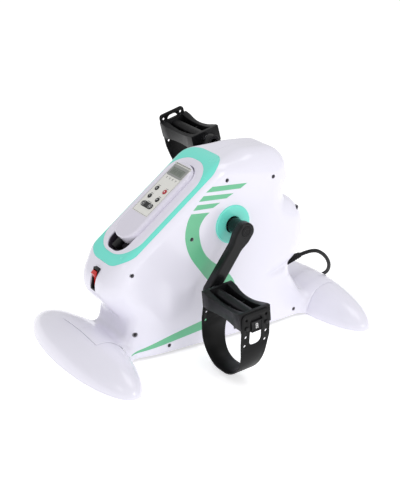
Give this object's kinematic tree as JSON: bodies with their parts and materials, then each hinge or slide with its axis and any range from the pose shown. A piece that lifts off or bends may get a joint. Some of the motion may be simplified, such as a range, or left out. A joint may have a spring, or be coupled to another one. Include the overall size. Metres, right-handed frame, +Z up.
{
  "type": "pedal exerciser",
  "caption": "Motorised floor pedal exerciser: white casing on two domed feet, lift-out handset, cranks with strapped pedals and a mains lead.",
  "frame": {"origin": "on the floor, in the mid-plane of the machine, half way between the two feet", "axes": "+Z up; -Y towards the seated user; +X to the right crank"},
  "size_m": [0.4896, 0.6, 0.3291],
  "materials": {
    "white_casing": "gloss",
    "mint": "gloss",
    "cradle_white": "satin",
    "label": "matte",
    "display": "clear",
    "key_black": "matte",
    "key_red": "matte",
    "switch_black": "satin",
    "switch_red": "gloss",
    "black_plastic": "satin",
    "strap": "satin",
    "steel": "brushed",
    "painted_steel": "satin",
    "screw_steel": "brushed",
    "rubber": "matte",
    "pulley": "matte",
    "board_green": "satin",
    "aluminium": "brushed",
    "motor_metal": "satin",
    "brass": "brushed",
    "cord": "satin"
  },
  "bodies": {
    "base": {"base_frame": "painted_steel", "bearing_cheek_left": "painted_steel", "bearing_cheek_right": "painted_steel", "bearing_left": "steel", "bearing_right": "steel", "board_posts": "brass", "casing_left": "white_casing", "casing_right": "white_casing", "casing_screws": "screw_steel", "console_surround": "mint", "control_board": "board_green", "cord_coil": "cord", "drive_belt": "rubber", "foot_pads": "rubber", "front_foot": "white_casing", "handset_cradle": "cradle_white", "heat_sink": "aluminium", "hub_cover_left": "mint", "hub_cover_right": "mint", "mains_cord": "cord", "motor": "motor_metal", "motor_bracket": "painted_steel", "plug_body": "black_plastic", "plug_pins": "brass", "rear_foot": "white_casing", "strain_relief": "cord", "switch_bezel": "switch_black", "switch_pin": "steel", "switch_terminals": "brass", "transformer": "motor_metal"},
    "crank": {"crankshaft": "steel", "drive_pulley": "pulley", "crank_arm_right": "black_plastic", "crank_arm_left": "black_plastic", "crank_cap_right": "black_plastic", "crank_cap_left": "black_plastic", "pedal_axle_right": "steel", "pedal_axle_left": "steel"},
    "motor_rotor": {"motor_pulley": "aluminium"},
    "pedal_right": {"pedal_body_right": "black_plastic", "pedal_pegs_right": "black_plastic", "pedal_strap_right": "strap"},
    "pedal_left": {"pedal_body_left": "black_plastic", "pedal_pegs_left": "black_plastic", "pedal_strap_left": "strap"},
    "handset": {"handset_front": "cradle_white", "handset_back": "cradle_white", "keypad_label": "label", "display_window": "display", "handset_board": "board_green", "display_module": "key_black", "lead_plug": "key_black", "handset_lead": "cord"},
    "rocker": {"switch_rocker": "switch_red"},
    "key_mode": {"button_mode": "key_black"},
    "key_time": {"button_time": "key_black"},
    "key_stop": {"button_stop": "key_red"},
    "key_start": {"button_start": "key_black"},
    "key_speed": {"speed_key": "key_black"}
  },
  "joints": [
    {"name": "crank_spin", "type": "hinge", "parent": "base", "child": "crank", "pos_m": [0, 0.0159, 0.208], "axis": [1, 0, 0], "continuous": true},
    {"name": "motor_spin", "type": "hinge", "parent": "base", "child": "motor_rotor", "pos_m": [0, -0.07, 0.095], "axis": [1, 0, 0], "continuous": true},
    {"name": "pedal_right_spin", "type": "hinge", "parent": "crank", "child": "pedal_right", "pos_m": [0.1685, -0.04688, 0.11767], "axis": [1, 0, 0], "continuous": true},
    {"name": "pedal_left_spin", "type": "hinge", "parent": "crank", "child": "pedal_left", "pos_m": [-0.1685, 0.07868, 0.29833], "axis": [1, 0, 0], "continuous": true},
    {"name": "rocker_tilt", "type": "hinge", "parent": "base", "child": "rocker", "pos_m": [0, -0.19771, 0.13578], "axis": [1, 0, 0], "range_deg": [0, 14]},
    {"name": "handset_lift", "type": "slide", "parent": "base", "child": "handset", "axis": [0, -0.6113, 0.7914], "range_m": [0, 0.05]},
    {"name": "key_mode_press", "type": "slide", "parent": "handset", "child": "key_mode", "axis": [0, 0.6113, -0.7914], "range_m": [0, 0.0008], "stiffness_N_per_m": 300, "springref_m": -0.0005},
    {"name": "key_time_press", "type": "slide", "parent": "handset", "child": "key_time", "axis": [0, 0.6113, -0.7914], "range_m": [0, 0.0008], "stiffness_N_per_m": 300, "springref_m": -0.0005},
    {"name": "key_stop_press", "type": "slide", "parent": "handset", "child": "key_stop", "axis": [0, 0.6113, -0.7914], "range_m": [0, 0.0008], "stiffness_N_per_m": 300, "springref_m": -0.0005},
    {"name": "key_start_press", "type": "slide", "parent": "handset", "child": "key_start", "axis": [0, 0.6113, -0.7914], "range_m": [0, 0.0008], "stiffness_N_per_m": 300, "springref_m": -0.0005},
    {"name": "key_speed_press", "type": "slide", "parent": "handset", "child": "key_speed", "axis": [0, 0.6113, -0.7914], "range_m": [0, 0.0008], "stiffness_N_per_m": 300, "springref_m": -0.0005}
  ],
  "couplings": [
    {"joint": "motor_spin", "follows": "crank_spin", "ratio": 4.1429}
  ]
}
